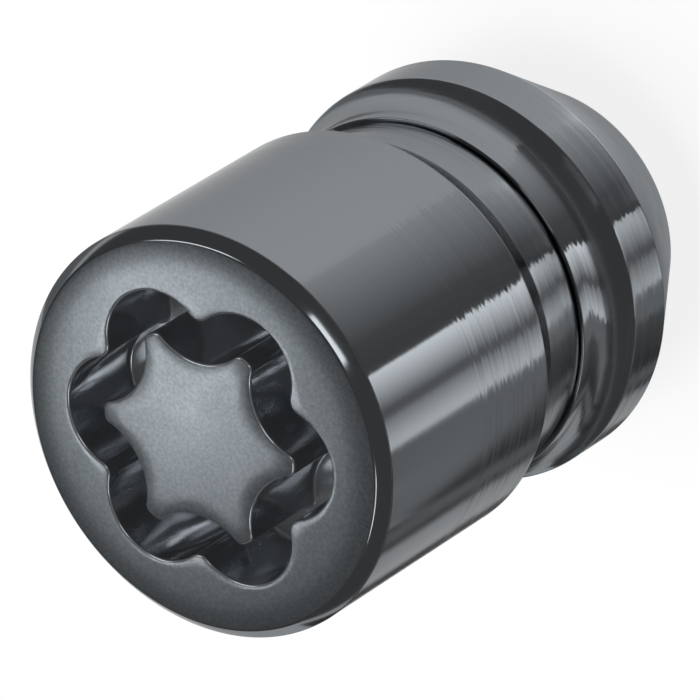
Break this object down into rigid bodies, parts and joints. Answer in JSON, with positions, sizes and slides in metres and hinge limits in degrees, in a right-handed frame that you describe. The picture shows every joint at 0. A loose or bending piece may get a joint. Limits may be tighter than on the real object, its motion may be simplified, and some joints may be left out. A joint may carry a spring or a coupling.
{
  "type": "locking wheel nut",
  "caption": "Dark chromed locking wheel nut with a wavy key groove around a star boss, a waisted collar and a cone seat.",
  "frame": {"origin": "centre of the flat end inside the cone seat, which the nut stands on", "axes": "+Z along the thread's axis, towards the key face"},
  "size_m": [0.022, 0.022, 0.032],
  "materials": {
    "black_chrome": "dark bright plating over turned steel, satin on the key face"
  },
  "bodies": {
    "root": {"nut_body": "black_chrome"}
  },
  "joints": []
}
